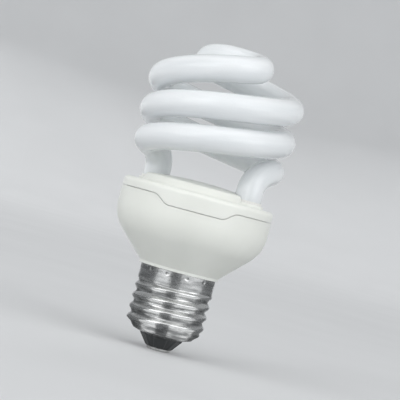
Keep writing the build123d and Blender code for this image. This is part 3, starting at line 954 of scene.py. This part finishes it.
    def turned_piece(
        self, name: str, corners: Sequence[Pair], finish: bpy.types.Material, ribbed: bool = False
    ) -> bpy.types.Object:
        """Turned solid from a closed outline.

        Args:
            name: the piece's name.
            corners: radius and height in mm, in order, with the outside on the right hand.
            finish: the piece's material.
            ribbed: with the insulator's ribs on its cone, where true.

        Returns:
            The finished piece.
        """
        sheet = ShapeSheet(name)
        closed = [*corners, corners[0]]
        lengths = [math.dist(a, b) for a, b in zip(closed, closed[1:])]
        total = sum(lengths)
        stops = [0.0]
        for length in lengths:
            stops.append(stops[-1] + length / total)
        grid, angle, share = sheet.round_grid(self.turned_steps)
        radius, height = sheet.outline(share, stops, [(r * MM, z * MM) for r, z in closed])
        if ribbed:
            radius = sheet.math("ADD", radius, self.ribs(sheet, angle, radius, height))
        piece = sheet.make(sheet.wrap(grid, angle, radius, height), finish)
        piece.data.set_sharp_from_angle(angle=math.radians(self.sharp_angle))
        return piece

    def build_insulator(self) -> None:
        """Make the black cone between the contact and the shell."""
        eyelet_r = self.eyelet_d / 2
        top_r = self.lip_turn_d / 2 - self.sheet_t
        corners = [
            (eyelet_r, self.contact_t),
            (self.insulator_tip_d / 2, self.contact_t),
            (self.insulator_d / 2, self.lip_z),
            (self.insulator_d / 2, self.lip_z + self.sheet_t),
            (top_r - self.sheet_t / 2, self.lip_turn_z + self.sheet_t),
            (top_r, self.insulator_top_z),
            (eyelet_r, self.insulator_top_z),
        ]
        finish = self.insulator_finish.make()
        piece = self.turned_piece("insulator_cone", corners, finish, ribbed=True)
        stand_for(piece, Slot.INSULATOR, "cap_insulator")

    def build_contact(self) -> None:
        """Make the contact disc with its eyelet."""
        round_r = self.contact_t / 2
        flat_r = self.contact_d / 2 - round_r
        turns = [math.pi / 2 * step / self.edge_steps for step in range(self.edge_steps + 1)]
        edge = [(flat_r + round_r * math.sin(t), round_r - round_r * math.cos(t)) for t in turns]
        corners = [
            (self.eyelet_bore_d / 2, 0.0),
            *edge,
            (self.contact_d / 2, self.contact_t),
            (self.eyelet_d / 2, self.contact_t),
            (self.eyelet_d / 2, self.eyelet_top_z),
            (self.eyelet_bore_d / 2, self.eyelet_top_z),
        ]
        piece = self.turned_piece("contact_disc", corners, self.contact_finish.make())
        stand_for(piece, Slot.CONTACT, "centre_contact")

    def build(self) -> None:
        """Make the whole cap."""
        self.build_shell()
        self.build_insulator()
        self.build_contact()


@dataclass
class Dresser:
    """Gives the frame's own nodes a better finish, one material for each slot."""

    frame: dict[str, Any]
    finishes: dict[Slot, Finish]

    def build(self) -> None:
        """Dress every node of the frame that keeps its shape, by its slot."""
        made = {slot: finish.make() for slot, finish in self.finishes.items()}
        for row in self.frame["record"]["subparts"]:
            slot = Slot(row["material_slot"])
            if slot not in made:
                continue
            mesh = self.frame["nodes"][row["node"]].data
            mesh.materials.clear()
            mesh.materials.append(made[slot])
            LOG.info("%s: %s", row["node"], slot.value)


@dataclass(frozen=True)
class SoftLight:
    """A soft light that faces the lamp: a bearing in degrees, a place and a size in metres."""

    name: str
    bearing: float
    height: float
    distance: float
    width: float
    tall: float
    radiance: float
    mirrored: bool = False


@dataclass(frozen=True)
class Arc:
    """A stretch of bearings round the lamp, in degrees to the right of the camera's side."""

    name: str
    start: float
    end: float


@dataclass
class Studio:
    """Pale sweep, soft lights and the camera. In metres and degrees."""

    sweep_r: float = 1.9
    sweep_bend_r: float = 0.5
    sweep_h: float = 0.75
    sweep_steps: tuple[int, int] = (96, 60)
    sweep_bend_steps: int = 12
    sweep_flat_share: float = 0.3
    sweep_bend_share: float = 0.4
    sweep_colour: Triple = (0.56, 0.568, 0.576)
    sweep_lift: float = 0.2
    world_colour: Triple = (0.96, 0.98, 1.0)
    world_strength: float = 0.41
    card_near: float = 0.01
    card_floor_z: float = 0.002
    dark_far: float = 0.12
    dark_h: float = 0.05
    dark_colour: Triple = (0.2, 0.205, 0.21)
    dark_second: Triple = (0.27, 0.275, 0.28)
    dark_roughness: float = 0.9
    dark_grain_mm: float = 90.0
    white_far: float = 0.04
    white_colour: Triple = (0.8, 0.805, 0.81)
    white_lift: float = 0.42
    aim_z: float = 0.052
    camera_place: Triple = (0.0007, -0.58, 0.052)
    camera_roll: float = 15.0
    focal_px: float = 1740.0
    image_px: float = 400.0
    sensor_mm: float = 36.0
    soft_lights: tuple[SoftLight, ...] = (
        SoftLight("left_box", -40, 0.65, 1.5, 1.12, 1.2, 1.45, mirrored=True),
        SoftLight("right_box", 46, 0.65, 1.5, 1.65, 1.2, 1.38, mirrored=True),
        SoftLight("top_box", 0, 1.15, 0.6, 1.5, 1.3, 0.84, mirrored=True),
        SoftLight("front_fill", -10, 0.28, 1.7, 1.8, 0.46, 1.2),
        SoftLight("left_fill", -85, 0.4, 1.7, 1.8, 0.7, 1.75),
        SoftLight("right_fill", 85, 0.45, 1.7, 1.8, 0.8, 1.15),
        SoftLight("left_back_fill", -130, 0.32, 1.6, 1.4, 0.5, 2.0),
        SoftLight("back_fill", 180, 0.65, 1.6, 1.8, 0.8, 1.2),
    )
    dark_gaps: tuple[Arc, ...] = (
        Arc("camera_gap", -18, 12),
        Arc("left_gap", -62, -105),
        Arc("left_back_gap", -105, -150),
        Arc("right_gap", 84, 150),
    )
    white_floors: tuple[Arc, ...] = (Arc("left_white", -62, -18), Arc("right_white", 12, 84))

    def sweep(self) -> None:
        """Make the floor, which bends up to a wall all round."""
        sheet = ShapeSheet("sweep")
        grid, angle, share = sheet.round_grid(self.sweep_steps)
        flat = self.sweep_r - self.sweep_bend_r
        stops, corners = [0.0, self.sweep_flat_share], [(0.0, 0.0), (flat, 0.0)]
        for step in range(1, self.sweep_bend_steps + 1):
            part = step / self.sweep_bend_steps
            turn = math.pi / 2 * part
            stops.append(self.sweep_flat_share + self.sweep_bend_share * part)
            rise = self.sweep_bend_r * (1 - math.cos(turn))
            corners.append((flat + self.sweep_bend_r * math.sin(turn), rise))
        corners.append((self.sweep_r, self.sweep_h))
        radius, height = sheet.outline(share, [*stops, 1.0], corners)
        finish = StudioPaper("studio_paper", self.sweep_colour, self.sweep_lift)
        floor = sheet.make(sheet.wrap(grid, angle, radius, height), finish.make())

    def softbox(self, row: SoftLight) -> None:
        """Make a soft light that the camera doesn't see.

        Args:
            row: the light's place, size and brightness.
        """
        data = bpy.data.lights.new(row.name, "AREA")
        data.shape = "RECTANGLE"
        data.size, data.size_y = row.width, row.tall
        data.energy = row.radiance * math.pi * row.width * row.tall
        place = polar(row.distance, row.bearing + CAMERA_SIDE, row.height)
        look = Vector((0.0, 0.0, self.aim_z)) - place
        turn = look.to_track_quat("-Z", "Y").to_matrix().to_4x4()
        light = bpy.data.objects.new(row.name, data)
        light.matrix_world = Matrix.Translation(place) @ turn
        light.visible_camera = False
        light.visible_glossy = row.mirrored
        bpy.context.scene.collection.objects.link(light)

    def card(self, name: str, corners: Sequence[Triple], finish: bpy.types.Material) -> None:
        """Make a card that only reflections show.

        Args:
            name: the card's name.
            corners: its corners as distance, bearing in degrees and height.
            finish: the card's material.
        """
        places = [polar(far, bearing + CAMERA_SIDE, height) for far, bearing, height in corners]
        mesh = bpy.data.meshes.new(name)
        mesh.from_pydata(places, [], [range(len(places))])
        mesh.materials.append(finish)
        card = bpy.data.objects.new(name, mesh)
        card.visible_camera = False
        card.visible_diffuse = False
        card.visible_shadow = False
        bpy.context.scene.collection.objects.link(card)

    def lying_corners(self, arc: Arc, far: float) -> list[Triple]:
        """Corners of a card that lies on the floor, close to the lamp."""
        near, z = self.card_near, self.card_floor_z
        return [(near, arc.start, z), (far, arc.start, z), (far, arc.end, z), (near, arc.end, z)]

    def dark_gap(self, arc: Arc) -> None:
        """Make a dark gap between the lights: a card on the floor and one that stands behind it.

        Args:
            arc: the gap's name and bearings.
        """
        tones = (self.dark_colour, self.dark_second)
        finish = PartFinish(arc.name, *tones, self.dark_roughness, self.dark_grain_mm)
        far, low, high = self.dark_far, self.card_floor_z, self.dark_h
        edges = [(arc.start, low), (arc.start, high), (arc.end, high), (arc.end, low)]
        self.card(f"{arc.name}_floor", self.lying_corners(arc, far), finish.make())
        self.card(f"{arc.name}_card", [(far, *edge) for edge in edges], finish.make())

    def lights(self) -> None:
        """Make the soft lights, the dark and white cards and the sky."""
        for row in self.soft_lights:
            self.softbox(row)
        for arc in self.dark_gaps:
            self.dark_gap(arc)
        for arc in self.white_floors:
            finish = StudioPaper(arc.name, self.white_colour, self.white_lift)
            self.card(arc.name, self.lying_corners(arc, self.white_far), finish.make())
        world = bpy.data.worlds.new("studio_air")
        world.use_nodes = True
        air = world.node_tree.nodes["Background"]
        air.inputs["Color"].default_value = (*self.world_colour, 1.0)
        air.inputs["Strength"].default_value = self.world_strength
        bpy.context.scene.world = world

    def camera(self) -> None:
        """Set the camera level with the lamp, leaning by its roll."""
        data = bpy.data.cameras.new("camera")
        data.sensor_width = self.sensor_mm
        data.lens = self.focal_px / self.image_px * self.sensor_mm
        level = Matrix.Rotation(math.radians(90), 4, "X")
        roll = Matrix.Rotation(math.radians(self.camera_roll), 4, "Z")
        view = bpy.data.objects.new("camera", data)
        view.matrix_world = Matrix.Translation(self.camera_place) @ level @ roll
        bpy.context.scene.collection.objects.link(view)
        bpy.context.scene.camera = view

    def build(self) -> None:
        """Set up the whole studio."""
        bpy.context.scene.view_settings.view_transform = "Standard"
        self.camera()
        self.sweep()
        self.lights()


def node_finishes() -> dict[Slot, Finish]:
    """Finishes of the nodes that keep their frame shape.

    Returns:
        Slot to finish.
    """
    rows = {
        Slot.CEMENT: ("white_cement", (0.8, 0.8, 0.775), (0.71, 0.71, 0.685), 0.85, 0.6, 0.0, 0.05),
        Slot.SOLDER: ("dull_solder", (0.6, 0.61, 0.62), (0.48, 0.49, 0.5), 0.34, 0.5, 1.0),
        Slot.BOARD: ("paper_board", (0.45, 0.3, 0.13), (0.36, 0.23, 0.09), 0.6, 1.2),
        Slot.SLEEVE: ("shrink_sleeve", (0.02, 0.028, 0.06), (0.03, 0.038, 0.075), 0.3, 2.0),
        Slot.FERRITE: (
            "sintered_ferrite", (0.045, 0.045, 0.05), (0.075, 0.075, 0.08), 0.7, 0.4, 0.0, 0.03
        ),
        Slot.BOBBIN: ("bobbin_black", (0.03, 0.03, 0.032), (0.045, 0.045, 0.047), 0.5, 0.8),
        Slot.COPPER: (
            "enamelled_copper", (0.62, 0.24, 0.09), (0.42, 0.13, 0.045), 0.32, 0.4, 0.9, 0.05
        ),
        Slot.FILM: ("dipped_resin", (0.36, 0.07, 0.025), (0.28, 0.05, 0.02), 0.28, 1.5),
        Slot.CASE: ("moulded_epoxy", (0.014, 0.014, 0.015), (0.024, 0.024, 0.025), 0.55, 0.4),
        Slot.RESISTOR: ("tan_lacquer", (0.5, 0.36, 0.18), (0.42, 0.3, 0.14), 0.4, 0.7),
        Slot.FUSE: ("green_lacquer", (0.12, 0.26, 0.2), (0.09, 0.2, 0.16), 0.4, 0.7),
        Slot.LIVE: ("red_insulation", (0.4, 0.02, 0.016), (0.32, 0.014, 0.012), 0.4, 0.8),
        Slot.NEUTRAL: ("black_insulation", (0.018, 0.018, 0.02), (0.028, 0.028, 0.03), 0.4, 0.8),
        Slot.PIN: ("tinned_brass", (0.64, 0.56, 0.36), (0.5, 0.43, 0.26), 0.3, 0.4, 1.0),
        Slot.LEAD: ("drawn_wire", (0.6, 0.58, 0.55), (0.5, 0.48, 0.45), 0.3, 0.3, 1.0),
    }
    parts = {slot: PartFinish(*row) for slot, row in rows.items()}
    return {Slot.PLASTIC: MouldedPlastic(), **parts}


def main() -> None:
    """Build the studio, then the lamp's pieces over the frame."""
    logging.basicConfig(level=logging.INFO, format="%(name)s %(message)s")
    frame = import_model()
    Studio().build()
    Dresser(frame, node_finishes()).build()
    SpiralTube().build()
    ScrewCap().build()


if __name__ == "__main__":
    main()
